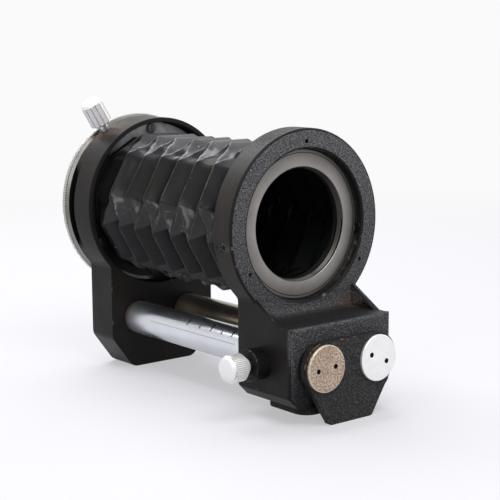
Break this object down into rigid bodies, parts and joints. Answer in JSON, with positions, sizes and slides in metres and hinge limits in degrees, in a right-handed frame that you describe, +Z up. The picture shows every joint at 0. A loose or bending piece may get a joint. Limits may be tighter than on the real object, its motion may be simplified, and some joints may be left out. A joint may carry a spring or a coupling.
{
  "type": "macro bellows unit",
  "caption": "Macro bellows: two cast standards joined by a pleated bellows on twin guide rods, with a sliding clamp and a lockable turning camera ring.",
  "frame": {"origin": "on the flat under the rear standard's leg, in the plane of symmetry, 7 mm behind the front of the standard", "axes": "+Z up, +Y along the optical axis from the lens to the camera, +X to the right as seen from the lens"},
  "size_m": [0.0772, 0.1423, 0.1119],
  "materials": {
    "satin_black": "cast aluminium in satin black paint, worn brown along the edges",
    "crackle_black": "cast aluminium in fine crackle black paint, smoother on the machined sides",
    "chrome": "polished chrome plate with fine scratches",
    "screw_steel": "plain steel",
    "aged_cap": "brown patina with a bright rim",
    "silver_cap": "fine matt silver",
    "grey_plate": "dull grey",
    "black_frame": "matt black",
    "bellows_cloth": "black coated cloth, semi-gloss, grey along the folds",
    "grey_metal": "turned warm grey metal",
    "brass": "turned brass",
    "dark_metal": "blackened steel"
  },
  "bodies": {
    "frame": {"rear_standard": "satin_black", "rod_left": "chrome", "rod_right": "chrome", "rear_rod_screws": "screw_steel", "end_plate": "satin_black", "rod_cap_left": "aged_cap", "rod_cap_right": "silver_cap", "rear_disc": "grey_plate", "bellows_rear_frame": "black_frame", "rear_frame_screws": "screw_steel", "bellows": "bellows_cloth", "lock_pad": "brass"},
    "carriage": {"front_standard": "crackle_black", "lens_ring": "grey_metal", "lens_ring_screws": "brass", "bellows_front_frame": "black_frame", "front_frame_screws": "screw_steel", "tripod_bush": "screw_steel", "clamp_bush": "satin_black", "clamp_pad": "brass"},
    "clamp": {"clamp_screw": "screw_steel", "clamp_knob": "chrome"},
    "camera_ring": {"mount_ring": "chrome", "ring_sleeve": "dark_metal", "retaining_ring": "dark_metal", "camera_thread": "chrome", "camera_thread_screws": "screw_steel"},
    "ring_lock": {"lock_screw": "screw_steel", "lock_knob": "chrome"}
  },
  "joints": [
    {"name": "standard_slide", "type": "slide", "parent": "frame", "child": "carriage", "axis": [0, 1, 0], "range_m": [0, 0.072], "deforming": ["bellows"]},
    {"name": "clamp_turn", "type": "hinge", "parent": "carriage", "child": "clamp", "pos_m": [-0.037, -0.1014, 0.021], "axis": [1, 0, 0], "range_deg": [-270, 150]},
    {"name": "mount_turn", "type": "hinge", "parent": "frame", "child": "camera_ring", "pos_m": [0, 0.0106, 0.0676], "axis": [0, 1, 0], "continuous": true},
    {"name": "lock_turn", "type": "hinge", "parent": "frame", "child": "ring_lock", "pos_m": [-0.02078, 0.006, 0.10178], "axis": [0.5195, 0, -0.8545], "range_deg": [-270, 150]}
  ]
}
